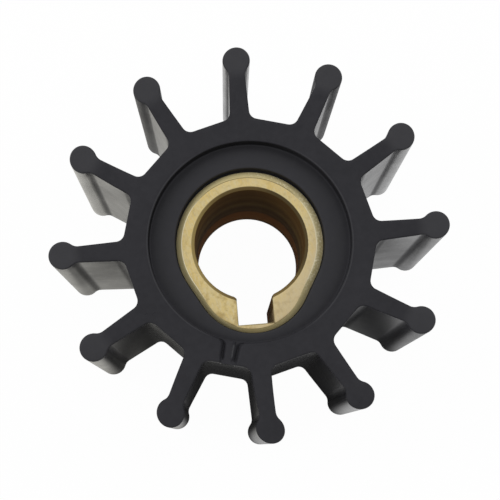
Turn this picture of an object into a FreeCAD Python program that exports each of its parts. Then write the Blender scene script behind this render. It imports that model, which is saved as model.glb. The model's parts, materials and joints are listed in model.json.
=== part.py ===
import FreeCAD, Part
import math
import os

# Flexible pump impeller: a rubber vane moulding bonded round a keyed brass insert.
# Millimetres. The origin is the centre of the lower end, +Z runs along the shaft,
# and the key slot opens towards -Y.

# Brass insert
BORE_DIAMETER = 15.9        # runs on a five-eighths inch shaft
RING_WALL = 2.65            # wall all round the bore
KEY_SLOT_WIDTH = 5.1
KEY_SLOT_DEPTH = 3.65       # from the bore's wall to the slot's floor
KEY_SLOT_WALL = 1.25        # brass left behind the slot's floor
LOBE_RADIUS = 8.4           # nose of the outline that carries the slot
INSERT_LENGTH = 24.6
INSERT_INSET = 2.7          # upper end face below the rubber's upper end
BORE_CHAMFER = 0.45
RIM_CHAMFER_WIDTH = 0.8     # broken outer edge, seen along the shaft
RIM_CHAMFER_DEPTH = 0.4

# Rubber hub
RECESS_LAND = 1.6           # flat floor between the insert's nose and the recess wall
RECESS_DEPTH = 1.9
RECESS_EDGE = 0.25          # broken edge of the recess
LIP_ROUND = 0.5             # rubber's rounded mouth over the insert
HUB_RIM = 3.3               # recess wall to the flats between the vanes
WIDTH = 31.8                # end to end, hub and vanes alike
ROOT_FILLET = 1.3

# Rubber vanes
VANE_COUNT = 12
TIP_DIAMETER = 57.2         # over the beads of two opposite vanes
BEAD_DIAMETER = 4.0
VANE_ROOT = 2.9             # thickness at the hub
VANE_TIP = 2.2              # thickness at the bead
NECK_FILLET = 1.5

# Open channel through the upper rim, one flat round from the key slot
CHANNEL_WIDTH = 2.3         # at the end face
CHANNEL_DEPTH = 0.6
CHANNEL_DRAFT = 35.0        # degrees, lean of its walls
CHANNEL_FLARE = 0.7         # rounding where it leaves the recess

# Worked out from the sizes above
bore_radius = BORE_DIAMETER / 2
ring_radius = bore_radius + RING_WALL
slot_floor = bore_radius + KEY_SLOT_DEPTH
nose_reach = slot_floor + KEY_SLOT_WALL
nose_centre = nose_reach - LOBE_RADIUS
recess_radius = nose_reach + RECESS_LAND
flat_distance = recess_radius + HUB_RIM
bead_radius = BEAD_DIAMETER / 2
bead_centre = TIP_DIAMETER / 2 - bead_radius
pitch = 2 * math.pi / VANE_COUNT
key_direction = -math.pi / 2
insert_top = WIDTH - INSERT_INSET
insert_bottom = insert_top - INSERT_LENGTH
MARGIN = 1.0                # how far a cutting solid runs past the face it opens


def vector(x, y, z=0.0):
    return FreeCAD.Vector(x, y, z)


def turned(point, angle):
    """The point turned about the shaft axis."""
    c = math.cos(angle)
    s = math.sin(angle)
    return vector(point.x * c - point.y * s, point.x * s + point.y * c, point.z)


def arc_about(centre, start, end):
    """The shorter arc from start to end about centre."""
    middle = (start - centre) + (end - centre)
    middle.normalize()
    radius = (start - centre).Length
    return Part.Arc(start, centre + middle * radius, end).toShape()


def line(start, end):
    return Part.LineSegment(start, end).toShape()


def prism(wire, height):
    return Part.Face(wire).extrude(vector(0, 0, height))


def side_of_vane():
    """Points of one side of the vane that lies along +X, from the hub's flat to the bead."""
    slope = (VANE_TIP - VANE_ROOT) / 2 / (bead_centre - flat_distance)
    lean = math.atan(slope)
    up = vector(-math.sin(lean), math.cos(lean))
    start_height = VANE_ROOT / 2 - slope * flat_distance

    # Root fillet, tangent to the flat of the next gap and to the vane's side
    flat_normal = vector(math.cos(pitch / 2), math.sin(pitch / 2))
    raised = start_height + ROOT_FILLET / math.cos(lean)
    reach = flat_distance + ROOT_FILLET
    root_x = (reach - raised * flat_normal.y) / (flat_normal.x + slope * flat_normal.y)
    root = vector(root_x, slope * root_x + raised)

    # Neck fillet, tangent to the vane's side and to the bead
    bead = vector(bead_centre, 0)
    raised = start_height + NECK_FILLET / math.cos(lean)
    span = bead_radius + NECK_FILLET
    a = 1 + slope ** 2
    b = slope * raised - bead_centre
    c = bead_centre ** 2 + raised ** 2 - span ** 2
    neck_x = (-b - math.sqrt(b * b - a * c)) / a
    neck = vector(neck_x, slope * neck_x + raised)
    towards_bead = neck - bead
    towards_bead.normalize()

    return {
        "root": root,
        "on_flat": root - flat_normal * ROOT_FILLET,
        "side_start": root - up * ROOT_FILLET,
        "side_end": neck - up * NECK_FILLET,
        "neck": neck,
        "on_bead": bead + towards_bead * bead_radius,
    }


def mirrored(point):
    return vector(point.x, -point.y, point.z)


def rubber_outline():
    """The moulding's outline: every vane with its bead and the flat that follows it."""
    side = side_of_vane()
    tip = vector(bead_centre + bead_radius, 0)
    edges = []
    for number in range(VANE_COUNT):
        angle = key_direction + number * pitch
        near = {name: turned(mirrored(point), angle) for name, point in side.items()}
        far = {name: turned(point, angle) for name, point in side.items()}
        edges.append(arc_about(near["root"], near["on_flat"], near["side_start"]))
        edges.append(line(near["side_start"], near["side_end"]))
        edges.append(arc_about(near["neck"], near["side_end"], near["on_bead"]))
        edges.append(Part.Arc(near["on_bead"], turned(tip, angle), far["on_bead"]).toShape())
        edges.append(arc_about(far["neck"], far["on_bead"], far["side_end"]))
        edges.append(line(far["side_end"], far["side_start"]))
        edges.append(arc_about(far["root"], far["side_start"], far["on_flat"]))
        next_flat = turned(mirrored(side["on_flat"]), angle + pitch)
        edges.append(line(far["on_flat"], next_flat))
    return Part.Wire(edges)


def insert_outline(grow, z):
    """Round ring and nose joined by two tangent flanks, grown by an even margin."""
    ring = ring_radius + grow
    nose = LOBE_RADIUS + grow
    drop = (ring - nose) / nose_centre
    across = math.sqrt(1 - drop ** 2)
    right = vector(across, -drop)
    left = vector(-across, -drop)
    level = vector(0, 0, z)
    centre = level + vector(0, -nose_centre)
    ring_right = level + right * ring
    ring_left = level + left * ring
    nose_right = centre + right * nose
    nose_left = centre + left * nose
    return Part.Wire([
        Part.Arc(ring_right, level + vector(0, ring), ring_left).toShape(),
        line(ring_left, nose_left),
        Part.Arc(nose_left, centre + vector(0, -nose), nose_right).toShape(),
        line(nose_right, ring_right),
    ])


def end_recess(z_face, inward):
    """Round recess in one end, with its edge broken."""
    floor = z_face + inward * RECESS_DEPTH
    lowest = min(floor, z_face - inward * MARGIN)
    bowl = Part.makeCylinder(recess_radius, RECESS_DEPTH + MARGIN, vector(0, 0, lowest))
    mouth = Part.makeCone(
        recess_radius + RECESS_EDGE,
        recess_radius,
        RECESS_EDGE,
        vector(0, 0, z_face),
        vector(0, 0, inward),
    )
    return bowl.fuse(mouth)


def round_lip(body, z_floor):
    """Round the rubber's mouth over the insert, at the recess floor."""
    mouth = []
    for edge in body.Edges:
        box = edge.BoundBox
        level = abs(box.ZMin - z_floor) < 1e-4 and abs(box.ZMax - z_floor) < 1e-4
        inside = edge.CenterOfMass.Length < math.hypot(nose_reach, z_floor) + 1e-4
        reach = max(vertex.Point.sub(vector(0, 0, z_floor)).Length for vertex in edge.Vertexes)
        if level and inside and reach < nose_reach + 1e-4:
            mouth.append(edge)
    return body.makeFillet(LIP_ROUND, mouth)


def channel_plan(narrow, z):
    """Plan of the channel along +X: flared at the recess, open at the flat."""
    half = CHANNEL_WIDTH / 2 - narrow
    wide = half + CHANNEL_FLARE
    wall = math.sqrt(recess_radius ** 2 - wide ** 2)
    inner = recess_radius - MARGIN - RECESS_EDGE
    outer = flat_distance + MARGIN
    corner = vector(wall + CHANNEL_FLARE, wide, z)
    start = vector(wall, wide, z)
    end = vector(wall + CHANNEL_FLARE, half, z)
    return Part.Wire([
        line(vector(inner, wide, z), start),
        arc_about(corner, start, end),
        line(end, vector(outer, half, z)),
        line(vector(outer, half, z), vector(outer, -half, z)),
        line(vector(outer, -half, z), mirrored(end)),
        arc_about(mirrored(corner), mirrored(end), mirrored(start)),
        line(mirrored(start), vector(inner, -wide, z)),
        line(vector(inner, -wide, z), vector(inner, wide, z)),
    ])


def channel():
    """Shallow open channel from the recess to the flat on the clockwise side of the key slot."""
    narrowing = CHANNEL_DEPTH * math.tan(math.radians(CHANNEL_DRAFT))
    plans = [channel_plan(narrowing, WIDTH - CHANNEL_DEPTH), channel_plan(0, WIDTH)]
    cut = Part.makeLoft(plans, True, True)
    cut.rotate(vector(0, 0), vector(0, 0, 1), math.degrees(key_direction - pitch / 2))
    return cut


def rubber_body():
    """One moulding: hub, twelve beaded vanes, a recess in each end, and the insert's pocket."""
    body = prism(rubber_outline(), WIDTH)
    body = body.cut(end_recess(0, 1))
    body = body.cut(end_recess(WIDTH, -1))
    body = body.cut(prism(insert_outline(0, -MARGIN), WIDTH + 2 * MARGIN))
    body = round_lip(body, RECESS_DEPTH)
    body = round_lip(body, WIDTH - RECESS_DEPTH)
    return body.cut(channel()).removeSplitter()


def keyed_insert():
    """Brass bush with a nose for the key slot, its edges broken at both ends."""
    straight = INSERT_LENGTH - 2 * RIM_CHAMFER_DEPTH
    low = insert_bottom + RIM_CHAMFER_DEPTH
    high = insert_top - RIM_CHAMFER_DEPTH
    body = prism(insert_outline(0, low), straight)
    for z_wide, z_end in ((low, insert_bottom), (high, insert_top)):
        rim = [insert_outline(0, z_wide), insert_outline(-RIM_CHAMFER_WIDTH, z_end)]
        body = body.fuse(Part.makeLoft(rim, True, True))

    long_cut = INSERT_LENGTH + 2 * MARGIN
    below = vector(0, 0, insert_bottom - MARGIN)
    bore = Part.makeCylinder(bore_radius, long_cut, below)
    slot_corner = below + vector(-KEY_SLOT_WIDTH / 2, -slot_floor)
    slot = Part.makeBox(KEY_SLOT_WIDTH, slot_floor, long_cut, slot_corner)
    body = body.cut(bore).cut(slot)
    for z_end, inward in ((insert_bottom, 1), (insert_top, -1)):
        edge = Part.makeCone(
            bore_radius + BORE_CHAMFER,
            bore_radius,
            BORE_CHAMFER,
            vector(0, 0, z_end),
            vector(0, 0, inward),
        )
        body = body.cut(edge)
    return body.removeSplitter()


def main():
    os.makedirs("parts", exist_ok=True)
    pieces = {"rubber_body": rubber_body(), "keyed_insert": keyed_insert()}
    for name, shape in pieces.items():
        shape.exportStep("parts/" + name + ".step")
        box = shape.BoundBox
        print(
            name,
            "solids", len(shape.Solids),
            "valid", shape.isValid(),
            "volume", round(shape.Volume, 1),
            "size", round(box.XLength, 2), round(box.YLength, 2), round(box.ZLength, 2),
        )


main()
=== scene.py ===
# %% [markdown]
# # A flexible pump impeller
#
# This lesson dresses a imported CAD model for its picture. The object is the impeller of a small
# water pump: a black rubber star with twelve beaded vanes, moulded round a keyed brass bush.
# The CAD model fixes every size. The first call loads it.

# %% Load the frame
import json
import math

import bmesh
import bpy
from mathutils import Matrix, Vector


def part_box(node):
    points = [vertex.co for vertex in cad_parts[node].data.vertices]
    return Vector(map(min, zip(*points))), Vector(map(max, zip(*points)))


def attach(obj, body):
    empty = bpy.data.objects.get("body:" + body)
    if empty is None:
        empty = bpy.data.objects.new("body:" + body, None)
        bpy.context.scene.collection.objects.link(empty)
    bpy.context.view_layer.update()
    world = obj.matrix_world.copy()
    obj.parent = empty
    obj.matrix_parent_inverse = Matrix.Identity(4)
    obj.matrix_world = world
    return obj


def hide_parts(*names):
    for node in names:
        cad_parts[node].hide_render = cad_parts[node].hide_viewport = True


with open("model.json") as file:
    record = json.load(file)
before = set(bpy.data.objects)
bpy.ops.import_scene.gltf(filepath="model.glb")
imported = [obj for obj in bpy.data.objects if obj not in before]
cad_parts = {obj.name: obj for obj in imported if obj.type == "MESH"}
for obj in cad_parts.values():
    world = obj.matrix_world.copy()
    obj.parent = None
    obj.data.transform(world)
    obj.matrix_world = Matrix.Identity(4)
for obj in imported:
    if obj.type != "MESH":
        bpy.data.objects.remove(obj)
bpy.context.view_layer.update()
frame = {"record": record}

MM = 0.001

# %% [markdown]
# ## Sizes
#
# The frame tells where each CAD part is, so the lengths it holds are read from it and not typed
# again. The others are typed with the values that the CAD source gives them. All outlines below
# are drawn in millimetres, because a reader can check those against a ruler; only the finished
# mesh is turned into metres.

# %% Sizes from the frame
rubber_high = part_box("rubber_body")[1]
brass_low, brass_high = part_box("keyed_insert")
shaft = next(m for m in frame["record"]["mounts"] if m["name"] == "shaft_bore")
width = rubber_high.z / MM
tip_radius = rubber_high.x / MM
brass_top = brass_high.z / MM
brass_bottom = brass_low.z / MM
bore_radius = shaft["dims"]["r_mm"]
print("width", round(width, 2), "tip radius", round(tip_radius, 2), "bore", bore_radius)

# %% Sizes of the brass bush
RING_WALL = 2.65
KEY_SLOT_WIDTH = 5.1
KEY_SLOT_DEPTH = 3.65
KEY_SLOT_WALL = 1.25
LOBE_RADIUS = 8.4
ring_radius = bore_radius + RING_WALL
slot_floor = bore_radius + KEY_SLOT_DEPTH
nose_reach = slot_floor + KEY_SLOT_WALL
nose_centre = nose_reach - LOBE_RADIUS
print("ring radius", round(ring_radius, 2), "nose reach", round(nose_reach, 2))

# %% Sizes of the rubber moulding
RECESS_LAND = 1.6
RECESS_DEPTH = 1.9
HUB_RIM = 3.3
ROOT_FILLET = 1.3
VANE_COUNT = 12
BEAD_RADIUS = 2.0
VANE_ROOT = 2.9
VANE_TIP = 2.2
NECK_FILLET = 1.5
recess_radius = nose_reach + RECESS_LAND
flat_distance = recess_radius + HUB_RIM
bead_centre = tip_radius - BEAD_RADIUS
pitch = 2 * math.pi / VANE_COUNT
print("recess", round(recess_radius, 2), "hub flats", round(flat_distance, 2))

# %% [markdown]
# ## A line with its outward direction
#
# Every moulded edge of the real part is slightly rounded. To round an outline, each of its
# points has to know which way is out of the rubber. An outline is therefore a list of pairs:
# a point and its outward direction. Two helpers draw the only two kinds of stretch there are.

# %% Arcs and straights
def arc(centre, radius, start, end, steps, hollow=False):
    """Pairs along an arc. A hollow arc has the rubber outside its circle."""
    made = []
    for step in range(steps + 1):
        angle = start + (end - start) * step / steps
        out = Vector((math.cos(angle), math.sin(angle)))
        made.append((centre + out * radius, -out if hollow else out))
    return made


def straight(start, end, out, steps):
    """Pairs along a straight stretch."""
    return [(start.lerp(end, step / steps), out) for step in range(steps + 1)]


def joined(*stretches):
    """One line out of stretches that each start where the last one ended."""
    line = list(stretches[0])
    for stretch in stretches[1:]:
        line.extend(stretch[1:])
    return line


def turned(vector, angle):
    return Matrix.Rotation(angle, 2) @ vector


def inset(pair, depth):
    """The pair's point, moved into the material."""
    return pair[0] - pair[1] * depth


# %% [markdown]
# ## One side of a vane
#
# A vane is a thin rubber wall that bends as the pump turns. It leaves the hub in a root round,
# thins along its flank, and swells through a neck round into the bead that rubs on the pump's
# housing. The rounds touch their neighbours smoothly, so their centres follow from a little
# geometry: each lies on a line parallel to the flank. The neck's centre is also as far from the
# bead's centre as both radii together, which gives a quadratic equation.

# %% Half a vane, drawn along +X
ROOT_STEPS = 8
FLANK_STEPS = 10
NECK_STEPS = 10
BEAD_STEPS = 20


def half_of_vane():
    slope = (VANE_TIP - VANE_ROOT) / 2 / (bead_centre - flat_distance)
    lean = math.atan(slope)
    out_of_flank = Vector((-math.sin(lean), math.cos(lean)))
    start_height = VANE_ROOT / 2 - slope * flat_distance

    flat_out = Vector((math.cos(pitch / 2), math.sin(pitch / 2)))
    raised = start_height + ROOT_FILLET / math.cos(lean)
    reach = flat_distance + ROOT_FILLET
    root_x = (reach - raised * flat_out.y) / (flat_out.x + slope * flat_out.y)
    root = Vector((root_x, slope * root_x + raised))

    raised = start_height + NECK_FILLET / math.cos(lean)
    span = BEAD_RADIUS + NECK_FILLET
    a = 1 + slope ** 2
    b = slope * raised - bead_centre
    c = bead_centre ** 2 + raised ** 2 - span ** 2
    neck_x = (-b - math.sqrt(b * b - a * c)) / a
    neck = Vector((neck_x, slope * neck_x + raised))
    bead = Vector((bead_centre, 0))
    to_neck = math.atan2(neck.y, neck.x - bead_centre)

    down = lean - math.pi / 2
    root_start = pitch / 2 - math.pi
    flank_start = root - out_of_flank * ROOT_FILLET
    flank_end = neck - out_of_flank * NECK_FILLET
    return joined(
        arc(root, ROOT_FILLET, root_start, down, ROOT_STEPS, hollow=True),
        straight(flank_start, flank_end, out_of_flank, FLANK_STEPS),
        arc(neck, NECK_FILLET, down, to_neck - math.pi, NECK_STEPS, hollow=True),
        arc(bead, BEAD_RADIUS, to_neck, 0, BEAD_STEPS),
    )


half_vane = half_of_vane()
other_half = [(Vector((p.x, -p.y)), Vector((n.x, -n.y))) for p, n in half_vane]
print("points on half a vane:", len(half_vane))

# %% [markdown]
# ## Right round the moulding
#
# The whole outline is twelve vanes and the twelve hub flats between them. One flat carries a
# shallow channel across the upper rim, so it gets many more points than the others. The hub
# alone, without its vanes, gets a second ring of points: it crosses each vane at the root.

# %% The outline and the hub's ring
KEY_ANGLE = -math.pi / 2
CHANNEL_ANGLE = KEY_ANGLE - pitch / 2
ACROSS = 4
PLAIN_FLAT_STEPS = 10
CHANNEL_FLAT_STEPS = 84


def vane_angle(number):
    return KEY_ANGLE + number * pitch


def flat_after(number):
    """Pairs along the hub flat that follows a vane."""
    angle = vane_angle(number)
    out = turned(Vector((1, 0)), angle + pitch / 2)
    start = turned(half_vane[0][0], angle)
    end = turned(other_half[0][0], angle + pitch)
    carries_channel = number == VANE_COUNT - 1
    steps = CHANNEL_FLAT_STEPS if carries_channel else PLAIN_FLAT_STEPS
    return straight(start, end, out, steps)


def whole_outline():
    line = []
    for number in range(VANE_COUNT):
        angle = vane_angle(number)
        vane = other_half + half_vane[-2::-1]
        line.extend((turned(p, angle), turned(n, angle)) for p, n in vane)
        line.extend(flat_after(number)[1:-1])
    return line


def hub_ring(depth):
    """Points round the hub, inset by depth at the flats and straight across each vane's root."""
    ring = []
    for number in range(VANE_COUNT):
        angle = vane_angle(number)
        start = inset(other_half[0], depth)
        end = inset(half_vane[0], depth)
        ring.extend(turned(start.lerp(end, step / ACROSS), angle) for step in range(ACROSS + 1))
        ring.extend(inset(pair, depth) for pair in flat_after(number)[1:-1])
    return ring


outline = whole_outline()
print("points round the outline:", len(outline), "round the hub:", len(hub_ring(0)))

# %% [markdown]
# ## How far the brass reaches in each direction
#
# Seen along the shaft the bush is a round ring and a smaller round nose, joined by two straight
# flanks. One function gives its reach from the shaft's axis at any angle, grown or shrunk by an
# even margin, which serves the pocket, the rubber's rounded lip and the brass edges alike.

# %% The outline that brass and pocket share
def brass_reach(angle, grow=0.0):
    ring = ring_radius + grow
    nose = LOBE_RADIUS + grow
    drop = (ring - nose) / nose_centre
    across = math.sqrt(1 - drop ** 2)
    ray = Vector((abs(math.cos(angle)), math.sin(angle)))
    flank_out = Vector((across, -drop))
    flank_way = Vector((-drop, -across))
    to_flank = ring / ray.dot(flank_out) if ray.dot(flank_out) > 0 else math.inf
    along = to_flank * ray.dot(flank_way) if to_flank < math.inf else -1.0
    if along < 0:
        return ring
    if along < nose_centre * across:
        return to_flank
    centre = Vector((0, -nose_centre))
    middle = ray.dot(centre)
    return middle + math.sqrt(middle ** 2 - centre.length_squared + nose ** 2)


def spoke(angle, radius):
    return Vector((math.cos(angle) * radius, math.sin(angle) * radius))


print("reach at the nose:", round(brass_reach(KEY_ANGLE), 2))

# %% [markdown]
# ## Gathering a skin of quads
#
# Both pieces are skins stretched over closed rings of points, like the ribs of a basket. Rings
# that meet share their place, so doubles are merged at the end, and the mesh then closes on
# itself. Flat faces stay flat under smooth shading, because the Weighted Normal modifier lets the
# large faces rule.

# %% The skin
MERGE_WITHIN = 0.0004
FLAT_FACE_WEIGHT = 80


class Skin:
    """Points and quads of one piece, in millimetres."""

    def __init__(self, shaping):
        self.points = []
        self.faces = []
        self.shaping = shaping

    def row(self, flat_points, height):
        """Adds a row of points at one height and returns their numbers."""
        first = len(self.points)
        self.points.extend(self.shaping(Vector((p.x, p.y, height))) for p in flat_points)
        return range(first, len(self.points))

    def bridge(self, lower, upper, closed=True):
        count = len(lower)
        last = count if closed else count - 1
        for here in range(last):
            after = (here + 1) % count
            self.faces.append((lower[here], lower[after], upper[after], upper[here]))

    def loft(self, rows, closed=True):
        for lower, upper in zip(rows, rows[1:]):
            self.bridge(lower, upper, closed)

    def finished(self, name, sharp_angle):
        """The mesh object: doubles merged, faces turned outwards, sizes in metres."""
        shell = bmesh.new()
        corners = [shell.verts.new(point * MM) for point in self.points]
        for face in self.faces:
            shell.faces.new([corners[number] for number in face])
        bmesh.ops.remove_doubles(shell, verts=shell.verts, dist=MERGE_WITHIN * MM)
        bmesh.ops.dissolve_degenerate(shell, edges=shell.edges, dist=MERGE_WITHIN * MM)
        bmesh.ops.recalc_face_normals(shell, faces=shell.faces)
        mesh = bpy.data.meshes.new(name)
        shell.to_mesh(mesh)
        open_edges = sum(1 for edge in shell.edges if len(edge.link_faces) != 2)
        shell.free()
        mesh.shade_smooth()
        mesh.set_sharp_from_angle(angle=math.radians(sharp_angle))
        piece = bpy.data.objects.new(name, mesh)
        bpy.context.scene.collection.objects.link(piece)
        weighted = piece.modifiers.new("flat faces stay flat", "WEIGHTED_NORMAL")
        weighted.keep_sharp = True
        weighted.weight = FLAT_FACE_WEIGHT
        print(name, "faces", len(mesh.polygons), "open edges", open_edges)
        return piece


# %% [markdown]
# ## What the press and the packing do to the rubber
#
# Two things make this moulding differ from its drawing. Its vanes are soft, and each has taken a
# slight lean, a few tenths of a millimetre at the bead. And the mould presses a shallow channel
# across the upper rim, beside the key slot: two sloping walls, a floor with a deeper gutter at
# the foot of each wall, and a fine raised witness line along it. Both are small moves of points,
# so they are functions of a point's place.

# %% Leaning vanes
LOWER_LEAN = {30: -0.15, 60: 0.1, 90: -0.15, 120: -0.35, 180: -0.1, 300: 0.2}
UPPER_LEAN = {
    0: 0.2, 30: 0.2, 90: -0.15, 120: -0.25, 150: -0.4, 240: 0.35, 270: 0.6, 300: 0.2, 330: 0.15,
}
LEAN_CURVE = 1.6
lean_start = half_vane[0][0].x
lean_length = bead_centre - lean_start


def leaned(point):
    """Moves a point sideways with its vane, anticlockwise where the lean is positive."""
    angle = math.atan2(point.y, point.x)
    number = round(angle / pitch)
    flat = turned(Vector((point.x, point.y)), -number * pitch)
    if flat.x <= lean_start:
        return point
    degrees = round(math.degrees(number * pitch)) % 360
    lower = LOWER_LEAN.get(degrees, 0.0)
    upper = UPPER_LEAN.get(degrees, 0.0)
    share = (flat.x - lean_start) / lean_length
    flat.y += (lower + (upper - lower) * point.z / width) * share ** LEAN_CURVE
    back = turned(flat, number * pitch)
    return Vector((back.x, back.y, point.z))


print("vanes that lean at the upper end:", len(UPPER_LEAN))

# %% The channel across the upper rim
CHANNEL_DEPTH = 0.3
CHANNEL_HALF = 1.38
CHANNEL_TAPER = 0.04
WALL_RUN = 0.3
GUTTER_DEPTH = 0.42
GUTTER_WIDTH = 0.27
CHANNEL_FLARE = 0.8
WITNESS_HEIGHT = 0.25
WITNESS_WIDTH = 0.13
WITNESS_OFFSET = 0.40
WITNESS_FADE = (0.9, 0.3)
GUTTER_START = 0.4
GUTTER_GROWTH = (0.1, 0.8)
SHALLOW_GUTTER = 0.85
FAR_INSIDE = 0.5
FAR_ASIDE = 3.2


def eased(value, low, high):
    """0 below low, 1 above high, and a smooth step between."""
    share = min(1.0, max(0.0, (value - low) / (high - low)))
    return share * share * (3 - 2 * share)


def pressed_depth(point):
    """Depth of the channel below the end face, over the place of a point."""
    flat = turned(Vector((point.x, point.y)), -CHANNEL_ANGLE)
    if flat.x < recess_radius - FAR_INSIDE or abs(flat.y) > FAR_ASIDE:
        return 0.0
    half = CHANNEL_HALF - CHANNEL_TAPER * (flat.x - recess_radius)
    near_recess = max(0.0, min(1.0, 1 - (flat.x - recess_radius) / CHANNEL_FLARE))
    half += CHANNEL_FLARE * (1 - math.sqrt(1 - near_recess ** 2))
    floor = 1 - eased(abs(flat.y), half - WALL_RUN, half)
    gutter = math.exp(-((abs(flat.y) - half + WALL_RUN) / GUTTER_WIDTH) ** 2)
    witness = math.exp(-((flat.y - WITNESS_OFFSET) / WITNESS_WIDTH) ** 2)
    fade = 1 - eased(flat.x, *(flat_distance - short for short in WITNESS_FADE))
    grown = eased(flat.x, *(recess_radius + beyond for beyond in GUTTER_GROWTH))
    gutter *= GUTTER_START + (1 - GUTTER_START) * grown
    gutter *= 1.0 if flat.y < 0 else SHALLOW_GUTTER
    return CHANNEL_DEPTH * floor + (GUTTER_DEPTH * gutter - WITNESS_HEIGHT * witness) * fade


def moulded(point):
    """A point of the drawing, where the finished moulding has it."""
    point = leaned(point)
    if point.z > width / 2:
        point.z = min(point.z, width - pressed_depth(point))
    return point


print("channel depth at its middle:", round(pressed_depth(spoke(CHANNEL_ANGLE, 16).to_3d()), 2))

# %% [markdown]
# ## The rubber moulding
#
# The outer wall is the outline stacked from end to end, drawn in a little at both ends so that
# the edges are round. The end faces of the vanes are grids between a vane's two sides. The hub's
# rim, the round recess, its floor, the lip round the brass and the pocket are one long stack of
# rings that runs in at the upper end and out at the lower one. Between lip and brass stays a
# narrow groove, widest on the side away from the key slot.

# %% Round edges as steps
EDGE_ROUND = 0.28
LIP_ROUND = 0.25
LIP_GAP = 0.1
TOP_GAP = 0.24
LIP_GAP_DEPTH = 1.3
RIM_ROUND = 0.2
CORNER_ROUND = 0.3
GAP_CURVE = 1.5


def quarter(radius, steps):
    """(inset, rise) along a quarter circle, from the end face to the wall."""
    angles = [math.pi / 2 * step / steps for step in range(steps + 1)]
    return [(radius * (1 - math.sin(a)), radius * (1 - math.cos(a))) for a in angles]


def lip_gap(angle):
    """Width of the groove between brass and lip. It is widest away from the key slot."""
    return LIP_GAP + TOP_GAP * max(0.0, math.sin(angle)) ** GAP_CURVE


def levels(low, high, steps):
    return [low + (high - low) * step / steps for step in range(steps + 1)]


print("groove opposite the nose, mm:", round(lip_gap(math.pi / 2), 2))

# %% Outer wall
ROUND_STEPS = 4
WALL_STEPS = 12

rubber = Skin(moulded)
profile = quarter(EDGE_ROUND, ROUND_STEPS)
profile += [(0.0, z) for z in levels(EDGE_ROUND, width - EDGE_ROUND, WALL_STEPS)[1:-1]]
profile += [(depth, width - rise) for depth, rise in reversed(quarter(EDGE_ROUND, ROUND_STEPS))]
wall = [rubber.row([inset(pair, depth) for pair in outline], z) for depth, z in profile]
rubber.loft(wall)
print("rows up the outer wall:", len(wall))

# %% End faces of the vanes
def vane_end(number, height):
    """A grid between the two sides of a vane."""
    rows = []
    for left, right in zip(other_half, half_vane):
        start = turned(inset(left, EDGE_ROUND), vane_angle(number))
        end = turned(inset(right, EDGE_ROUND), vane_angle(number))
        line = [start.lerp(end, step / ACROSS) for step in range(ACROSS + 1)]
        rows.append(rubber.row(line, height))
    rubber.loft(rows[:-1], closed=False)
    tip = rows[-1][0]
    before = rows[-2]
    for here in range(ACROSS):
        rubber.faces.append((before[here], before[here + 1], tip))


for number in range(VANE_COUNT):
    for height in (0.0, width):
        vane_end(number, height)
print("faces with the vanes' ends:", len(rubber.faces))

# %% Hub rim, recess, lip and pocket
CORNER_STEPS = 5
FLOOR_STEPS = 8
LIP_STEPS = 6
UPPER_RIM_STEPS = 30
LOWER_RIM_STEPS = 6
RUBBER_SHARP = 60
rim_ring = hub_ring(EDGE_ROUND)
ring_angles = [math.atan2(point.y, point.x) for point in rim_ring]


def recess_rows(end, inward, rim_steps):
    """Rings from the hub's rim to the pocket, at one end of the moulding."""
    rows = []
    mouth = recess_radius + RIM_ROUND
    for share in levels(0, 1, rim_steps):
        ring = [point.lerp(spoke(a, mouth), share) for point, a in zip(rim_ring, ring_angles)]
        rows.append((ring, end))
    for depth, rise in quarter(RIM_ROUND, ROUND_STEPS)[1:]:
        rows.append(([spoke(a, recess_radius + depth) for a in ring_angles], end + inward * rise))
    floor = end + inward * RECESS_DEPTH
    for depth, rise in reversed(quarter(CORNER_ROUND, CORNER_STEPS)):
        radius = recess_radius - depth
        rows.append(([spoke(a, radius) for a in ring_angles], floor - inward * rise))
    edge = recess_radius - CORNER_ROUND
    for share in levels(0, 1, FLOOR_STEPS)[1:]:
        ring = []
        for a in ring_angles:
            lip = brass_reach(a, lip_gap(a) + LIP_ROUND)
            ring.append(spoke(a, edge + (lip - edge) * share))
        rows.append((ring, floor))
    for depth, rise in quarter(LIP_ROUND, LIP_STEPS)[1:]:
        ring = [spoke(a, brass_reach(a, lip_gap(a) + depth)) for a in ring_angles]
        rows.append((ring, floor + inward * rise))
    for share in (1.0, 0.0):
        ring = [spoke(a, brass_reach(a, lip_gap(a) * share)) for a in ring_angles]
        rows.append((ring, floor + inward * LIP_GAP_DEPTH))
    return [rubber.row(ring, height) for ring, height in rows]


upper = recess_rows(width, -1, UPPER_RIM_STEPS)
lower = recess_rows(0.0, 1, LOWER_RIM_STEPS)
rubber.loft(upper)
rubber.loft(lower)
rubber.bridge(upper[-1], lower[-1])
rubber_piece = rubber.finished("moulded_rubber", RUBBER_SHARP)

# %% [markdown]
# ## The brass bush
#
# The bush is a cast or drawn bar with a bored hole and a broached slot for the key. Its skin runs
# from the outside over the upper end face into the bore and back over the lower end. Both
# outlines get the same number of points, paired by direction. The edges round both end faces are
# broken by a chamfer, as a turner would leave them, and small cuts take off the two corners where
# slot and bore meet. The outer chamfer is wider on the right and narrow at the nose.

# %% Bore and key slot as one line
BORE_STEPS = 132
SLOT_WALL_STEPS = 8
SLOT_FLOOR_STEPS = 10
SLOT_HALF = KEY_SLOT_WIDTH / 2
SLOT_CORNER = 0.3


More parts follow.
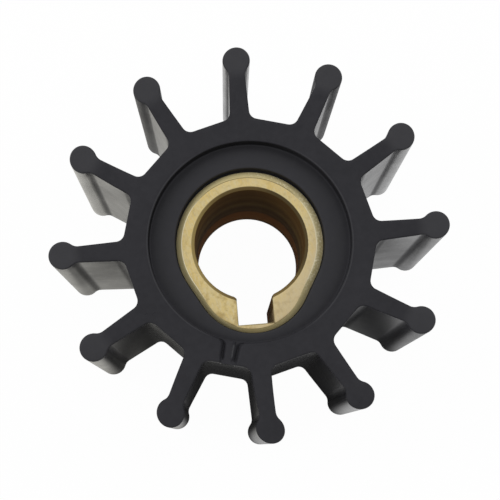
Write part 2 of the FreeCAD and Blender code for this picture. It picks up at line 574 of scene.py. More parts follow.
def bore_line(bore_grow, slot_grow):
    """Points once round the bore and the slot, starting at the slot's right edge."""
    bore = bore_radius + bore_grow
    half = SLOT_HALF + slot_grow
    floor = -(slot_floor + slot_grow)
    opening = math.asin((half + SLOT_CORNER) / bore)
    arc_start = KEY_ANGLE + opening
    arc_end = KEY_ANGLE + 2 * math.pi - opening
    corner = -bore * math.cos(opening) - SLOT_CORNER
    right = Vector((half, corner))
    left = Vector((-half, corner))
    line = [spoke(a, bore) for a in levels(arc_start, arc_end, BORE_STEPS)]
    left_floor = Vector((-half, floor))
    right_floor = Vector((half, floor))
    line += [left.lerp(left_floor, s) for s in levels(0, 1, SLOT_WALL_STEPS)]
    line += [left_floor.lerp(right_floor, s) for s in levels(0, 1, SLOT_FLOOR_STEPS)[1:]]
    line += [right_floor.lerp(right, s) for s in levels(0, 1, SLOT_WALL_STEPS)[1:]]
    return line


brass_angles = [math.atan2(point.y, point.x) for point in bore_line(0, 0)]
print("points round the bore:", len(brass_angles))

# %% The bush's skin
RIM_CHAMFER_WIDTH = 0.88
RIM_CHAMFER_DEPTH = 0.4
RIM_CHAMFER_SHIFT = 0.12
NOSE_CHAMFER_SHARE = 0.4
NOSE_TIGHTNESS = 6
BORE_CHAMFER = 0.45
FACE_STEPS = 6
BORE_ROWS = 20
BRASS_SHARP = 50

# Growth and depth below the face, from the face's rim down to the outside.
outer_steps = [
    (-RIM_CHAMFER_WIDTH - 0.06, 0.0),
    (-RIM_CHAMFER_WIDTH, 0.01),
    (-RIM_CHAMFER_WIDTH + 0.06, 0.04),
    (-0.05, RIM_CHAMFER_DEPTH - 0.025),
    (-0.015, RIM_CHAMFER_DEPTH + 0.01),
    (0.0, RIM_CHAMFER_DEPTH + 0.08),
]
# Growth of the bore, growth of the slot and depth, from the face down into the bore.
inner_steps = [
    (BORE_CHAMFER + 0.07, 0.10, 0.0),
    (BORE_CHAMFER, 0.04, 0.02),
    (BORE_CHAMFER - 0.06, 0.01, 0.08),
    (0.05, 0.0, BORE_CHAMFER - 0.05),
    (0.015, 0.0, BORE_CHAMFER + 0.01),
    (0.0, 0.0, BORE_CHAMFER + 0.12),
]


def as_drawn(point):
    return point


brass = Skin(as_drawn)


def brass_rows(end, inward):
    """Rings from the outside, over one end face and into the bore."""
    rows = []
    for grow, rise in reversed(outer_steps):
        shift = Vector((RIM_CHAMFER_SHIFT * grow / RIM_CHAMFER_WIDTH, 0))
        ring = []
        for a in brass_angles:
            at_nose = max(0.0, -math.sin(a)) ** NOSE_TIGHTNESS
            narrowed = grow * (1 - NOSE_CHAMFER_SHARE * at_nose)
            ring.append(spoke(a, brass_reach(a, narrowed)) + shift)
        rows.append((ring, end + inward * rise))
    face_outside = rows[-1][0]
    face_inside = bore_line(*inner_steps[0][:2])
    for share in levels(0, 1, FACE_STEPS)[1:-1]:
        rows.append(([p.lerp(q, share) for p, q in zip(face_outside, face_inside)], end))
    for bore_grow, slot_grow, rise in inner_steps:
        rows.append((bore_line(bore_grow, slot_grow), end + inward * rise))
    return [brass.row(ring, height) for ring, height in rows]


upper_brass = brass_rows(brass_top, -1)
lower_brass = brass_rows(brass_bottom, 1)
chamfer_depth = inner_steps[-1][2]
bore_levels = levels(brass_top - chamfer_depth, brass_bottom + chamfer_depth, BORE_ROWS)
bore_rows = [brass.row(bore_line(0, 0), z) for z in bore_levels]
brass.loft(upper_brass)
brass.loft(lower_brass)
brass.loft(bore_rows)
brass.bridge(upper_brass[0], lower_brass[0])
brass_piece = brass.finished("brass_bush", BRASS_SHARP)

# %% [markdown]
# ## Materials as sums
#
# A material is a net of nodes. Wiring one by hand hides the sum it stands for, so a small class
# wraps a socket and lets Python's own signs add the Math nodes, also in 1 - mask. Every other
# node comes from one method: it takes the node's type, settings, and its sockets' values or wires.

# %% A wire
def sign(operation):
    """What a sign does where the wire stands first, and where it stands second."""

    def wire_first(self, other):
        return self.math(operation, self, other)

    def wire_second(self, other):
        return self.math(operation, other, self)

    return wire_first, wire_second


class Wire:
    """An output socket. Signs between wires and numbers add Math nodes."""

    __add__, __radd__ = sign("ADD")
    __sub__, __rsub__ = sign("SUBTRACT")
    __mul__, __rmul__ = sign("MULTIPLY")
    __truediv__, __rtruediv__ = sign("DIVIDE")
    __pow__, __rpow__ = sign("POWER")

    def __init__(self, finish, socket):
        self.finish = finish
        self.socket = socket

    def __abs__(self):
        return self.math("ABSOLUTE", self, 0.0)

    def math(self, operation, first, second):
        return self.finish.node("ShaderNodeMath", {"operation": operation}, {0: first, 1: second})

    def of(self, name):
        """Another output of the same node."""
        return Wire(self.finish, self.socket.node.outputs[name])

    def rises(self, span):
        """0 below a span of values, 1 above it, and a smooth step between."""
        low, high = span
        sockets = {"Value": self, "From Min": low, "From Max": high}
        smooth = {"interpolation_type": "SMOOTHSTEP"}
        return self.finish.node("ShaderNodeMapRange", smooth, sockets)

    def falls(self, span):
        """1 below a span of values, 0 above it."""
        return 1 - self.rises(span)

    def within(self, start, end):
        """1 from the span where it starts to the span where it ends, and 0 outside."""
        return self.rises(start) * self.falls(end)


# %% A finish
class Finish:
    """The nodes of one material, or of the world, under construction."""

    def __init__(self, owner):
        owner.use_nodes = True
        self.owner = owner
        self.nodes = owner.node_tree.nodes
        self.links = owner.node_tree.links
        self.nodes.clear()

    def node(self, kind, settings=None, sockets=None, output=0):
        made = self.nodes.new(kind)
        for name, value in (settings or {}).items():
            if name == "stops":
                self.set_stops(made.color_ramp, value)
            else:
                setattr(made, name, value)
        for name, value in (sockets or {}).items():
            if isinstance(value, Wire):
                self.links.new(value.socket, made.inputs[name])
            else:
                made.inputs[name].default_value = value
        return Wire(self, made.outputs[output])

    def set_stops(self, ramp, stops):
        while len(ramp.elements) > 1:
            ramp.elements.remove(ramp.elements[-1])
        for number, (place, colour) in enumerate(stops):
            stop = ramp.elements[0] if number == 0 else ramp.elements.new(place)
            stop.position = place
            stop.color = (*colour, 1.0)

    def output(self, shader, kind="ShaderNodeOutputMaterial"):
        """Ends the net in its surface and returns what it belongs to."""
        end = self.nodes.new(kind)
        self.links.new(shader.socket, end.inputs["Surface"])
        return self.owner

    def count(self, stage):
        print(self.owner.name, "up to its", stage + ":", len(self.nodes), "nodes")


# %% [markdown]
# ## Words that the finishes share
#
# Wear, shade and tarnish sit at places: on the beads, in the recess, round the bore. The place
# itself, in millimetres from the shaft's axis, can say where, and needs no unwrapped picture. A
# mask rises or falls over a span of it, and colours are laid on like paint, each through a mask.

# %% Place, level, noise, paint, bump
class Spot:
    """The place of a surface point on its piece, in millimetres."""

    def __init__(self, finish):
        metres = finish.node("ShaderNodeTexCoord", output="Object")
        scale = {"operation": "SCALE"}
        self.place = finish.node("ShaderNodeVectorMath", scale, {0: metres, "Scale": 1 / MM})
        self.x, self.y, self.z = parts_of(self.place)
        self.radius = length_of(self.x, self.y)


def parts_of(vector):
    split = vector.finish.node("ShaderNodeSeparateXYZ", sockets={0: vector})
    return split, split.of("Y"), split.of("Z")


def length_of(x, y):
    return (x * x + y * y) ** 0.5


def level_part(finish):
    """1 on a face square to the shaft, 0 on a wall along it."""
    return abs(parts_of(finish.node("ShaderNodeTexCoord", output="Normal"))[2])


def noise(place, size, detail=3.0, roughness=0.5):
    """Noise whose blotches are about size millimetres across, as a value near 0.5."""
    sockets = {"Vector": place, "Scale": 1 / size, "Detail": detail, "Roughness": roughness}
    return place.finish.node("ShaderNodeTexNoise", sockets=sockets)


def painted(under, *coats):
    """A colour with coats laid on in turn, each a colour and the share that it covers."""
    settings = {"data_type": "RGBA", "clamp_factor": True}
    for over, share in coats:
        sockets = {0: share}
        for number, colour in ((6, under), (7, over)):
            sockets[number] = colour if isinstance(colour, Wire) else (*colour, 1.0)
        under = share.finish.node("ShaderNodeMix", settings, sockets, output=2)
    return under


def bumped(height, distance):
    """The surface's direction, tilted by a height that counts for distance millimetres."""
    sockets = {"Height": height, "Distance": distance * MM, "Strength": 1.0}
    return height.finish.node("ShaderNodeBump", sockets=sockets, output="Normal")


# %% [markdown]
# ## Black pump rubber
#
# Nitrile rubber comes out of the mould a dull blue-black, with a fine grain and large soft clouds
# where the release agent dried. One flat black would look like plastic. Three sizes of noise are
# enough: clouds and a mottle colour it, and the mottle and a grain roughen its skin.

# %% The rubber's own colour
RUBBER_DARK = (0.0138, 0.0136, 0.0168)
RUBBER_GREY = (0.0262, 0.0259, 0.0304)
CLOUD_SIZE = 7.0
MOTTLE_SIZE = 0.9
GRAIN_SIZE = 0.16
CLOUD_SHARE = 0.7
MOTTLE_SHARE = 0.9
DARKENING = 0.30

rubber_finish = Finish(bpy.data.materials.new("nitrile rubber"))
rubber_at = Spot(rubber_finish)
rubber_level = level_part(rubber_finish)
rubber_clouds = noise(rubber_at.place, CLOUD_SIZE)
mottle = noise(rubber_at.place, MOTTLE_SIZE, detail=4.0, roughness=0.6)
grain = noise(rubber_at.place, GRAIN_SIZE, roughness=0.6)
greyness = rubber_clouds * CLOUD_SHARE + mottle * MOTTLE_SHARE - DARKENING
rubber_colour = painted(RUBBER_DARK, (RUBBER_GREY, greyness))
rubber_finish.count("colour")

# %% [markdown]
# ## Where the rubber is greyer
#
# Some places are a shade greyer. Small specks are wear. The beads grow greyer away from the key
# slot, partly from wear and partly as painted light falling from that side. The recess's floor is
# painted lighter against its shade, and painted highlights lie along the channel's raised line and
# in a thin line on the recess's rounded mouth. Each is a mask, and one coat of grey covers their
# sum.

# %% Worn and painted-light places
RUBBER_WORN_AND_LIT = (0.048, 0.048, 0.052)
BEADS_START = (23.5, 25.5)
BEAD_GREYING_STARTS = (-25.0, -8.0)
BEAD_WEAR_AND_LIGHT = 0.5
RECESS_FLOOR_ENDS = (13.2, 14.3)
RECESS_PAINTED_LIGHT = 0.24
SPECK_SIZE = 0.35
SPECK_PEAKS = (0.70, 0.82)
SPECK_WEAR = 0.25
MOUTH_STARTS = (recess_radius, recess_radius + 0.05)
MOUTH_ENDS = (recess_radius + 0.2, recess_radius + 0.3)
MOUTH_SIDES = (5.0, 10.0)
MOUTH_HIGHLIGHT = 0.5

# Beads greyer away from the key slot: partly wear, partly painted light falling from that side.
worn_and_lit_beads = rubber_at.radius.rises(BEADS_START) * rubber_at.y.rises(BEAD_GREYING_STARTS)
# The recess's floor, painted lighter against the shade in it.
recess_floor = rubber_at.radius.falls(RECESS_FLOOR_ENDS)
specks = noise(rubber_at.place, SPECK_SIZE, detail=2.0).rises(SPECK_PEAKS)
# A painted highlight on the rounded mouth of the recess, at its left and right.
mouth = rubber_at.radius.within(MOUTH_STARTS, MOUTH_ENDS) * abs(rubber_at.x).rises(MOUTH_SIDES)
worn_and_lit = worn_and_lit_beads * BEAD_WEAR_AND_LIGHT + recess_floor * RECESS_PAINTED_LIGHT
worn_and_lit = worn_and_lit + specks * SPECK_WEAR + mouth * MOUTH_HIGHLIGHT
rubber_finish.count("rubbed places")

# %% The painted highlight along the channel
STREAK_STARTS = (14.7, 15.2)
STREAK_ENDS = (16.4, 17.0)
STREAK_HALF = (0.05, 0.22)
UPPER_FACE = (width - 1.0, width - 0.8)

channel_way = spoke(CHANNEL_ANGLE, 1)
along_channel = rubber_at.x * channel_way.x + rubber_at.y * channel_way.y
across_channel = rubber_at.y * channel_way.x - rubber_at.x * channel_way.y
# A painted highlight along the channel's raised line.
channel_highlight = along_channel.within(STREAK_STARTS, STREAK_ENDS) * rubber_at.z.rises(UPPER_FACE)
channel_highlight = channel_highlight * abs(across_channel - WITNESS_OFFSET).falls(STREAK_HALF)
rubber_colour = painted(rubber_colour, (RUBBER_WORN_AND_LIT, worn_and_lit + channel_highlight))
rubber_finish.count("wear")

# %% [markdown]
# ## Where hardly any light comes
#
# Three places are darker on the real part than soft light leaves them: the recess's wall away
# from the key slot, the groove between lip and brass there, and the walls in front. Moving the
# lamps would change the rest too, so the colour itself is darkened there.

# %% Unlit places
RUBBER_UNLIT = (0.003, 0.003, 0.004)
RECESS_WALL_STARTS = (recess_radius - 0.1, recess_radius - 0.05)
RECESS_WALL_ENDS = (recess_radius, recess_radius + 0.1)
RECESS_WALL_BACK = (-8.0, 2.0)
RECESS_WALL_RIGHT = (2.0, 10.0)
RIGHT_LESS = 0.6
SLOPE_ENDS = (0.4, 0.8)
UPRIGHT_ENDS = (0.1, 0.3)
FRONT_ENDS = (-17.0, -13.0)
FRONT_SHADE = 0.4
GROOVE_STARTS = (RECESS_DEPTH + 0.02, RECESS_DEPTH + 0.2)
GROOVE_ENDS = (width - RECESS_DEPTH - 0.2, width - RECESS_DEPTH - 0.02)
GROOVE_RADIUS = (13.2, 13.6)
GROOVE_BACK = (-8.0, 4.0)
GROOVE_SHADE = 0.9

recess_wall = rubber_at.radius.within(RECESS_WALL_STARTS, RECESS_WALL_ENDS)
recess_wall = recess_wall * rubber_at.y.rises(RECESS_WALL_BACK) * rubber_level.falls(SLOPE_ENDS)
recess_wall = recess_wall * (1 - rubber_at.x.rises(RECESS_WALL_RIGHT) * RIGHT_LESS)
upright_wall = rubber_level.falls(UPRIGHT_ENDS)
groove = rubber_at.z.within(GROOVE_STARTS, GROOVE_ENDS) * rubber_at.radius.falls(GROOVE_RADIUS)
groove = groove * rubber_at.y.rises(GROOVE_BACK)
front_walls = upright_wall * rubber_at.y.falls(FRONT_ENDS)
unlit = recess_wall + groove * GROOVE_SHADE + front_walls * FRONT_SHADE
rubber_colour = painted(rubber_colour, (RUBBER_UNLIT, unlit))
rubber_finish.count("dark places")

# %% [markdown]
# ## How smooth the rubber is
#
# Seen almost along its surface, even black rubber mirrors what is round it, which is why the
# vanes' sides look grey. Roughness spreads that image, so it is duller in the recess, on the
# necks and on rounded edges, and smoother on the hub's front walls and on the beads behind.

# %% Roughness of hub and necks
SMOOTHEST = 0.18
MOTTLE_ROUGH = 0.12
CLOUD_ROUGH = 0.18
INNER_ENDS = (14.8, 15.4)
INNER_ROUGH = 0.25
HUB_WALL_ENDS = (18.6, 19.6)
CLEAR_STARTS = (-16.0, -10.0)
CLEAR_TILT = 0.25
CLEAR_ROUGH = 0.35
HUB_WALL_SMOOTHER = 0.13
NECK_STARTS = (24.0, 24.7)
NECK_ENDS = (24.9, 25.6)
NECK_ROUGH = 0.25

rough = SMOOTHEST + mottle * MOTTLE_ROUGH + rubber_clouds * CLOUD_ROUGH
rough = rough + rubber_at.radius.falls(INNER_ENDS) * INNER_ROUGH
hub_wall = upright_wall * rubber_at.radius.falls(HUB_WALL_ENDS)
clear_side = (rubber_at.y + rubber_at.x * CLEAR_TILT).rises(CLEAR_STARTS)
rough = rough + hub_wall * (clear_side * CLEAR_ROUGH - HUB_WALL_SMOOTHER)
neck = upright_wall * rubber_at.radius.within(NECK_STARTS, NECK_ENDS)
rough = rough + neck * NECK_ROUGH
rubber_finish.count("neck roughness")

# %% Roughness of beads and rounded edges
BEHIND_STARTS = (2.0, 8.0)
BEHIND_SMOOTHER = 0.1
RIGHT_STARTS = (16.0, 20.0)
RIGHT_FRONT_ENDS = (-8.0, -4.0)
RIGHT_FRONT_ROUGH = 0.12
HIGH_STARTS = (16.0, 19.0)
HIGH_OUTWARDS = (6.0, 9.0)
HIGH_ROUGH = 0.35
EDGE_STARTS = (0.15, 0.35)
EDGE_ENDS = (0.9, 0.99)
UPPER_EDGES = (width - 1.0, width - 0.5)
EDGE_ROUGH = 0.35

beads = upright_wall * rubber_at.radius.rises(NECK_ENDS)
behind = rubber_at.y.rises(BEHIND_STARTS)
right_front = rubber_at.x.rises(RIGHT_STARTS) * rubber_at.y.falls(RIGHT_FRONT_ENDS)
high = rubber_at.y.rises(HIGH_STARTS) * abs(rubber_at.x).rises(HIGH_OUTWARDS)
bead_rough = right_front * RIGHT_FRONT_ROUGH - behind * BEHIND_SMOOTHER + high * HIGH_ROUGH
rounded = rubber_level.within(EDGE_STARTS, EDGE_ENDS) * rubber_at.z.rises(UPPER_EDGES)
rough = rough + beads * bead_rough + rounded * EDGE_ROUGH
rubber_finish.count("roughness")

# %% The rubber's shader
RUBBER_IOR = 1.45
GRAIN_HEIGHT = 0.85
MOTTLE_HEIGHT = 0.8
RUBBER_BUMP = 0.012

rubber_shader = rubber_finish.node("ShaderNodeBsdfPrincipled", sockets={
    "Base Color": rubber_colour,
    "Roughness": rough,
    "IOR": RUBBER_IOR,
    "Normal": bumped(grain * GRAIN_HEIGHT + mottle * MOTTLE_HEIGHT, RUBBER_BUMP),
})
rubber_piece.data.materials.append(rubber_finish.output(rubber_shader))
rubber_finish.count("shader")

# %% [markdown]
# ## The brass's end face
#
# The end face was faced on a lathe and has since gone matt: pale yellow metal with fine
# scratches, small pits, and darker blotches, most of them near the key slot. The scratches all
# run one way, so they are noise that is stretched along it.

# %% Face metal
BRASS_FACE = (0.75, 0.62, 0.32)
BRASS_GOLD = (0.78, 0.59, 0.22)
BRASS_PALE = (0.74, 0.65, 0.42)
BRASS_WORN = (0.46, 0.33, 0.12)
BRASS_ROSE = (0.64, 0.53, 0.35)
BRASS_CLOUD_SIZE = 2.4
SCRATCHES_SHOW = (0.40, 0.70)
SCRATCH_SHARE = 0.6
PIT_SIZE = 0.5
PITS_SHOW = (0.46, 0.72)
PIT_SHARE = 0.35
BLOTCH_SIZE = 1.3
BLOTCHES_SHOW = (0.45, 0.65)
BLOTCH_SHARE = 0.15
BLOTCH_NEAR_SLOT = 0.45
NEAR_SLOT_ENDS = (-9.0, -4.0)
ROSE_STARTS = (4.0, 14.0)
ROSE_SHARE = 0.6

brass_finish = Finish(bpy.data.materials.new("keyed brass"))
brass_at = Spot(brass_finish)
brass_clouds = noise(brass_at.place, BRASS_CLOUD_SIZE)
stretched = brass_finish.node("ShaderNodeCombineXYZ", sockets={
    "X": brass_at.x * 4.0 + brass_at.y * 1.2,
    "Y": brass_at.y * 0.9 - brass_at.x * 0.3,
    "Z": brass_at.z,
})
scratches = noise(stretched, 1.0, roughness=0.6)
pits = noise(brass_at.place, PIT_SIZE, detail=5.0, roughness=0.7).rises(PITS_SHOW)
blotches = noise(brass_at.place, BLOTCH_SIZE, roughness=0.6).rises(BLOTCHES_SHOW)
blotched = blotches * (brass_at.y.falls(NEAR_SLOT_ENDS) * BLOTCH_NEAR_SLOT + BLOTCH_SHARE)
low_right = (brass_at.x - brass_at.y * 0.8).rises(ROSE_STARTS)
metal = painted(
    BRASS_FACE,
    (BRASS_GOLD, brass_clouds * 2.0 - 0.5),
    (BRASS_PALE, scratches.rises(SCRATCHES_SHOW) * SCRATCH_SHARE),
    (BRASS_WORN, pits * PIT_SHARE + blotched),
    (BRASS_ROSE, low_right * ROSE_SHARE),
)
brass_finish.count("face")

# %% [markdown]
# ## The brass's walls
#
# The bore has darkened to brown in rings, rusty near its lower end. A ramp of colours along the
# shaft draws them, and slow noise bends them so that they don't look printed. The broached slot
# is paler, and the outside, which hardly shows in its groove, is painted almost black as shade.

# %% Rings of the bore
BROWN = (0.150, 0.078, 0.018)
RUST = (0.40, 0.160, 0.024)
BAND = (0.27, 0.175, 0.055)
FAINT = (0.20, 0.115, 0.03)
WANDER_SIZE = 5.0
WANDER = 2.0
ring_stops = [
    (0.03, BROWN),
    (0.12, RUST),
    (0.28, RUST),
    (0.34, BROWN),
    (0.38, FAINT),
    (0.46, BROWN),
    (0.56, BAND),
    (0.62, FAINT),
    (0.66, BROWN),
    (0.78, FAINT),
    (0.84, BROWN),
]

wander = noise(brass_at.place, WANDER_SIZE, detail=2.0)
bent_height = brass_at.z - brass_bottom + wander * WANDER - WANDER / 2
rise_share = bent_height / (brass_top - brass_bottom)
rings = brass_finish.node("ShaderNodeValToRGB", {"stops": ring_stops}, {0: rise_share})
brass_finish.count("rings")

# %% Slot and outside
BRASS_BROACHED = (0.50, 0.39, 0.22)
BRASS_SHADED = (0.030, 0.024, 0.014)
IN_SLOT_ENDS = (-9.9, -9.2)
BROACHED_SHARE = 1.6
OUTSIDE_STARTS = (9.4, 9.8)
BESIDE_SLOT = (2.6, 2.8)

in_slot = brass_at.y.falls(IN_SLOT_ENDS)
# The outside wall in its groove is painted almost black as shade.
outside = brass_at.radius.rises(OUTSIDE_STARTS) * abs(brass_at.x).rises(BESIDE_SLOT)
broached = in_slot * brass_clouds * BROACHED_SHARE
walls = painted(rings, (BRASS_BROACHED, broached), (BRASS_SHADED, outside))
brass_finish.count("walls")

# %% [markdown]
# ## The brass's chamfers
#
# The outer chamfer is duller than the face, with an olive film. It is painted lighter away from
# the slot, where light falls on it, and at its foot, against the shade there, and its nicks on
# the right are painted as bright glints. The bore's is tarnished, with painted light on its left
# and painted shade on its right.

# %% Chamfer of the bore, with painted light and shade
BRASS_TARNISH_AND_SHADE = (0.16, 0.105, 0.035)
BRASS_BORE_EDGE = (0.44, 0.33, 0.12)
GRIT_SIZE = 0.22
LEFT_BORE_ENDS = (-8.0, -3.0)
LEFT_BORE_SHARE = 0.7
RIGHT_BORE_STARTS = (3.0, 7.0)
RIGHT_BORE_SHADE = 0.6
GRIT_SHARE = 0.3

grit = noise(brass_at.place, GRIT_SIZE, detail=4.0, roughness=0.65)
# Painted light on the bore's chamfer at the left, painted shade at the right, over its tarnish.
left_bore = brass_at.x.falls(LEFT_BORE_ENDS)
right_bore = (brass_at.x + brass_at.y * 0.3).rises(RIGHT_BORE_STARTS)
lightened = left_bore * LEFT_BORE_SHARE + grit * GRIT_SHARE
shaded = right_bore * RIGHT_BORE_SHADE
bore_edge = painted(BRASS_TARNISH_AND_SHADE, (BRASS_BORE_EDGE, lightened), (BRASS_SHADED, shaded))
brass_finish.count("bore's chamfer")

# %% Chamfer of the rim
BRASS_OLIVE = (0.47, 0.40, 0.205)
BRASS_CHAMFER_LIGHT = (0.60, 0.51, 0.26)
BRASS_SKIRT_LIGHT = (0.70, 0.60, 0.33)
BRASS_HIGHLIGHT = (0.98, 0.92, 0.70)
CHAMFER_LIGHT_STARTS = (-2.0, 9.0)
BORE_ENDS = (bore_radius + 0.42, bore_radius + 0.5)
NOSE_ENDS = (-13.0, -11.0)
NOSE_SHARE = 0.45
SKIRT_ENDS = (brass_top - RIM_CHAMFER_DEPTH, brass_top - 0.02)
SKIRT_STARTS = (brass_top - 2.0, brass_top - 1.0)
SKIRT_SHARE = 0.35
NICK_SIZE = 0.3
NICKS_SHOW = (0.50, 0.66)
NICKS_START = (2.0, 8.0)
NICK_SHARE = 0.55

# Painted light on the chamfer away from the slot, where the light falls.
chamfer_light = (brass_at.y + brass_at.x * 0.6).rises(CHAMFER_LIGHT_STARTS) + grit * GRIT_SHARE - GRIT_SHARE / 2
in_bore = brass_at.radius.falls(BORE_ENDS)
on_rim = 1 - in_bore
# Painted light on the chamfer's foot, against the shade near the rubber.
lit_skirt = brass_at.z.within(SKIRT_STARTS, SKIRT_ENDS) * on_rim
# Nicks on the right of the chamfer, painted as bright glints.
nick_glints = noise(brass_at.place, NICK_SIZE, roughness=0.6).rises(NICKS_SHOW)
nick_glints = nick_glints * (brass_at.x + brass_at.y * 0.4).rises(NICKS_START) * on_rim
chamfers = painted(
    BRASS_OLIVE,
    (BRASS_CHAMFER_LIGHT, chamfer_light),
    (bore_edge, in_bore),
    (BRASS_BORE_EDGE, brass_at.y.falls(NOSE_ENDS) * NOSE_SHARE),
    (BRASS_SKIRT_LIGHT, lit_skirt * SKIRT_SHARE),
    (BRASS_HIGHLIGHT, nick_glints * NICK_SHARE),
)
brass_finish.count("rim's chamfer")

# %% [markdown]
# ## Face, chamfer or wall
#
# Which of the three a spot is shows in which way it faces, so nothing has to be marked on the
# mesh. The thin line where face and chamfer meet gets a painted highlight at the sides and painted
# shade at the nose and away from it. It is a narrow range of the same direction.

# %% The three put together, and the line between them
FACE_STARTS = (0.93, 0.985)
CHAMFER_STARTS = (0.3, 0.6)
LINE_STARTS = (0.905, 0.94)
LINE_ENDS = (0.99, 0.999)
LINE_RADIUS = (bore_radius + 1.0, bore_radius + 1.1)
LEFT_ENDS = (-8.0, -5.0)
RIGHT_SIDE_STARTS = (6.0, 9.0)
RIGHT_HIGHLIGHT = 0.6
LINE_HIGHLIGHT_STARTS = (-9.0, -5.0)
NOSE_SHADE_ENDS = (-11.5, -9.5)
FAR_SHADE_STARTS = (5.0, 8.0)
FAR_SHADE = 0.8

brass_level = level_part(brass_finish)
face = brass_level.rises(FACE_STARTS)
edge = brass_level.rises(CHAMFER_STARTS)
line = brass_level.within(LINE_STARTS, LINE_ENDS) * brass_at.radius.rises(LINE_RADIUS)
# Painted highlight on the line at the left and right, painted shade at the nose and the far side.
line_highlight = brass_at.x.falls(LEFT_ENDS) + brass_at.x.rises(RIGHT_SIDE_STARTS) * RIGHT_HIGHLIGHT
line_highlight = line_highlight * brass_at.y.rises(LINE_HIGHLIGHT_STARTS)
line_shade = brass_at.y.falls(NOSE_SHADE_ENDS) + brass_at.y.rises(FAR_SHADE_STARTS) * FAR_SHADE
lines = ((BRASS_HIGHLIGHT, line * line_highlight), (BRASS_TARNISH_AND_SHADE, line * line_shade))
brass_colour = painted(walls, (chamfers, edge), (metal, face), *lines)
brass_finish.count("colour")

# %% The brass's shader
TURNING_TIGHTNESS = 6.0
BRASS_BUMP = 0.02
GRIT_HEIGHT = 0.7
TURNING_HEIGHT = 0.5
SCRATCH_HEIGHT = 0.6
BRASS_ROUGH = 0.62
GRIT_ROUGH = 0.16
WALL_ROUGH = 0.2
BRASS_METAL = 0.30
FILM = 0.1
WALL_METAL = 0.25

turned_place = brass_finish.node("ShaderNodeCombineXYZ", sockets={
    "X": brass_at.radius * TURNING_TIGHTNESS,
    "Y": brass_at.z * TURNING_TIGHTNESS,
})
turning = noise(turned_place, 1.0, detail=2.0)
relief = grit * GRIT_HEIGHT + turning * TURNING_HEIGHT + scratches * SCRATCH_HEIGHT
on_wall = 1 - edge
brass_shader = brass_finish.node("ShaderNodeBsdfPrincipled", sockets={
    "Base Color": brass_colour,
    "Roughness": BRASS_ROUGH + grit * GRIT_ROUGH + on_wall * WALL_ROUGH,
    "Metallic": BRASS_METAL - edge * (1 - face) * FILM + on_wall * WALL_METAL,
    "Normal": bumped(relief, BRASS_BUMP),
})
brass_piece.data.materials.append(brass_finish.output(brass_shader))
brass_finish.count("shader")

# %% [markdown]
# ## On the frame
#
# The two pieces stand for the two CAD nodes and ride with the one body there is.

# %% Ride and replace
for piece, node, slot in (
    (rubber_piece, "rubber_body", "rubber"),
    (brass_piece, "keyed_insert", "brass"),
):
    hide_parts(node)
    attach(piece, "root")
print("pieces on the frame:", rubber_piece.name, brass_piece.name)

# %% [markdown]
# ## What the floor shows
#
# The picture has a plain white ground. More light would bleach the object, so the floor glows
# instead, to the camera and to mirrored and transmitted rays alone. A small share of it stays an
# ordinary pale surface, which keeps the object's shadow. Mirrored rays find a painted shadow in
# front of and under the part, with a darker painted patch, a faint glow under the bore and a warm
# tint at the left.

# %% Light and dark fields of the floor
GLOW_SEEN = 0.98
WIDENING = 0.04
SHADE_RADIUS = (26.4, 32.5)
SHADE_BACK = (-18.0, 6.0)
SHADE_GLOW = 0.03
BORE_SPREAD = (7.0, 13.0)
BORE_GLOW = 0.25
FRONT_PATCH = (-15.2, -11.2)
PATCH_SPREAD = (1.5, 4.5)
PATCH_SHADE = 0.8
WARM_ENDS = (-24.0, 0.0)


def glow_shares(finish):
    """How much of the floor glows, how bright the glow is there with its painted shadow, and how
    warm.
    """
    camera_ray = finish.node("ShaderNodeLightPath", output="Is Camera Ray")
    glossy = camera_ray.of("Is Glossy Ray")
    transmitted = camera_ray.of("Is Transmission Ray")
    mirrored = camera_ray.math("MAXIMUM", glossy, transmitted)
    at = Spot(finish)
    # A painted shadow in front of and under the part, seen only in mirrored rays.
    around = (at.radius + abs(at.x) * WIDENING).rises(SHADE_RADIUS)
    behind_shade = at.y.rises(SHADE_BACK)
    under_bore = at.radius.falls(BORE_SPREAD)
    shadow_patch = length_of(at.x - FRONT_PATCH[0], at.y - FRONT_PATCH[1]).falls(PATCH_SPREAD)
    clear = 1 - (1 - around) * (1 - behind_shade)
    clear = clear * (1 - under_bore) * (1 - shadow_patch * PATCH_SHADE)
    mirror_glow = clear + under_bore * BORE_GLOW + SHADE_GLOW
    warm = mirrored * at.x.falls(WARM_ENDS)
    return camera_ray * GLOW_SEEN + mirrored, camera_ray + mirrored * mirror_glow, warm


# %% The pale floor
FLOOR_SIZE = 1.6
FLOOR_COLOUR = (0.82, 0.82, 0.82, 1.0)
WHITE = (1.0, 1.0, 1.0)
WARM_WHITE = (1.0, 0.98, 0.91)

bpy.ops.mesh.primitive_grid_add(x_subdivisions=4, y_subdivisions=4, size=FLOOR_SIZE)
floor = bpy.context.object
floor.name = "pale_floor"
floor_finish = Finish(bpy.data.materials.new("pale ground"))
plain = floor_finish.node("ShaderNodeBsdfDiffuse", sockets={"Color": FLOOR_COLOUR})
glow_part, brightness, warm = glow_shares(floor_finish)
glow_colour = painted(WHITE, (WARM_WHITE, warm))
glow = floor_finish.node("ShaderNodeEmission", sockets={"Color": glow_colour, "Strength": 1.0})
shade = floor_finish.node("ShaderNodeEmission", sockets={"Strength": 0.0})
lit_part = floor_finish.node("ShaderNodeMixShader", sockets={0: brightness, 1: shade, 2: glow})
ground = floor_finish.node("ShaderNodeMixShader", sockets={0: glow_part, 1: plain, 2: lit_part})
floor.data.materials.append(floor_finish.output(ground))
floor_finish.count("shader")

# %% [markdown]
# ## Surroundings and lamps
#
# The surroundings are white to the camera alone, and a plain weak light to every other ray,
# mirrored ones too. Three wide lamps add soft light from behind and from both sides. Mirrored
# rays don't see them, or the rubber would show round spots.

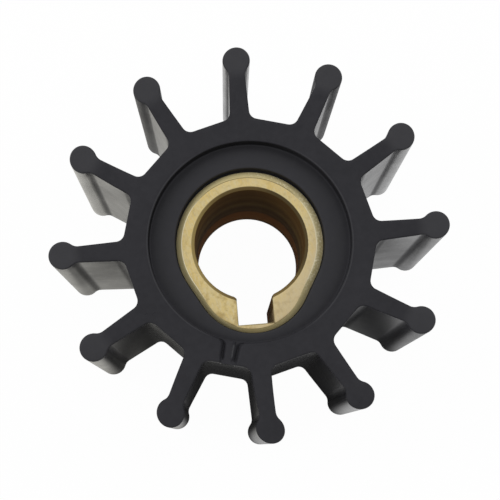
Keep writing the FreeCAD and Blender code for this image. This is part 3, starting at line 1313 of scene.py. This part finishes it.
# %% The surroundings
WORLD_LIGHT = 0.40
tent = Finish(bpy.data.worlds.new("white tent"))
camera_ray = tent.node("ShaderNodeLightPath", output="Is Camera Ray")
lit, white = (
    tent.node("ShaderNodeBackground", sockets={"Color": (*WHITE, 1.0), "Strength": strength})
    for strength in (WORLD_LIGHT, 1.0)
)
choice = tent.node("ShaderNodeMixShader", sockets={0: camera_ray, 1: lit, 2: white})
bpy.context.scene.world = tent.output(choice, "ShaderNodeOutputWorld")
print("the world's light:", WORLD_LIGHT)

# %% Soft lamps
# Name, place and width in metres, power in watts.
LAMPS = (
    ("far lamp", (-0.04, 0.42, 0.44), 0.40, 0.9),
    ("left lamp", (-0.46, 0.06, 0.36), 0.36, 1.5),
    ("right lamp", (0.46, 0.08, 0.36), 0.36, 1.1),
)


def soft_lamp(name, place, across, power):
    """A round lamp, aimed at the middle of the part."""
    light = bpy.data.lights.new(name, "AREA")
    light.shape = "DISK"
    light.size = across
    light.energy = power
    lamp = bpy.data.objects.new(name, light)
    lamp.location = place
    aim = Vector((0, 0, width / 2 * MM)) - lamp.location
    lamp.rotation_mode = "QUATERNION"
    lamp.rotation_quaternion = aim.to_track_quat("-Z", "Y")
    lamp.visible_glossy = False
    bpy.context.scene.collection.objects.link(lamp)


for lamp in LAMPS:
    soft_lamp(*lamp)
print("lamps:", len(LAMPS))

# %% [markdown]
# ## The camera
#
# The photograph looks almost straight down the shaft, from a little towards the key slot. Lens,
# tilt, roll and distance were found by fitting the drawing's points to the picture.

# %% Camera at the photograph's angle
FRAME_PIXELS = 500
FOCAL_PIXELS = 1235.0
TILT = math.radians(9.029)
ROLL = math.radians(-7.044)
TURN = math.radians(-11.7)
DISTANCE = 174.73
TARGET = Vector((0.1255, -1.337, width))

forward = Vector((0, math.sin(TILT), -math.cos(TILT)))
above = Vector((0, math.cos(TILT), math.sin(TILT)))
sideways = Vector((1, 0, 0))
camera_right = math.cos(ROLL) * sideways - math.sin(ROLL) * above
camera_up = math.sin(ROLL) * sideways + math.cos(ROLL) * above
stand = (TARGET - forward * DISTANCE) * MM
turn = Matrix.Rotation(TURN, 4, "Z")
axes = Matrix((camera_right, camera_up, -forward)).transposed().to_4x4()
camera_data = bpy.data.cameras.new("camera")
camera_data.sensor_width = 36.0
camera_data.lens = FOCAL_PIXELS / FRAME_PIXELS * camera_data.sensor_width
camera_data.clip_start = 0.01
camera = bpy.data.objects.new("camera", camera_data)
camera.matrix_world = turn @ Matrix.Translation(stand) @ axes
bpy.context.scene.collection.objects.link(camera)
bpy.context.scene.camera = camera
bpy.context.scene.view_settings.view_transform = "Standard"
print("camera stands at, mm:", [round(v / MM, 1) for v in camera.matrix_world.translation])

# %% [markdown]
# ## Last step
#
# The view layer is brought up to date.

# %% Finish
bpy.context.view_layer.update()
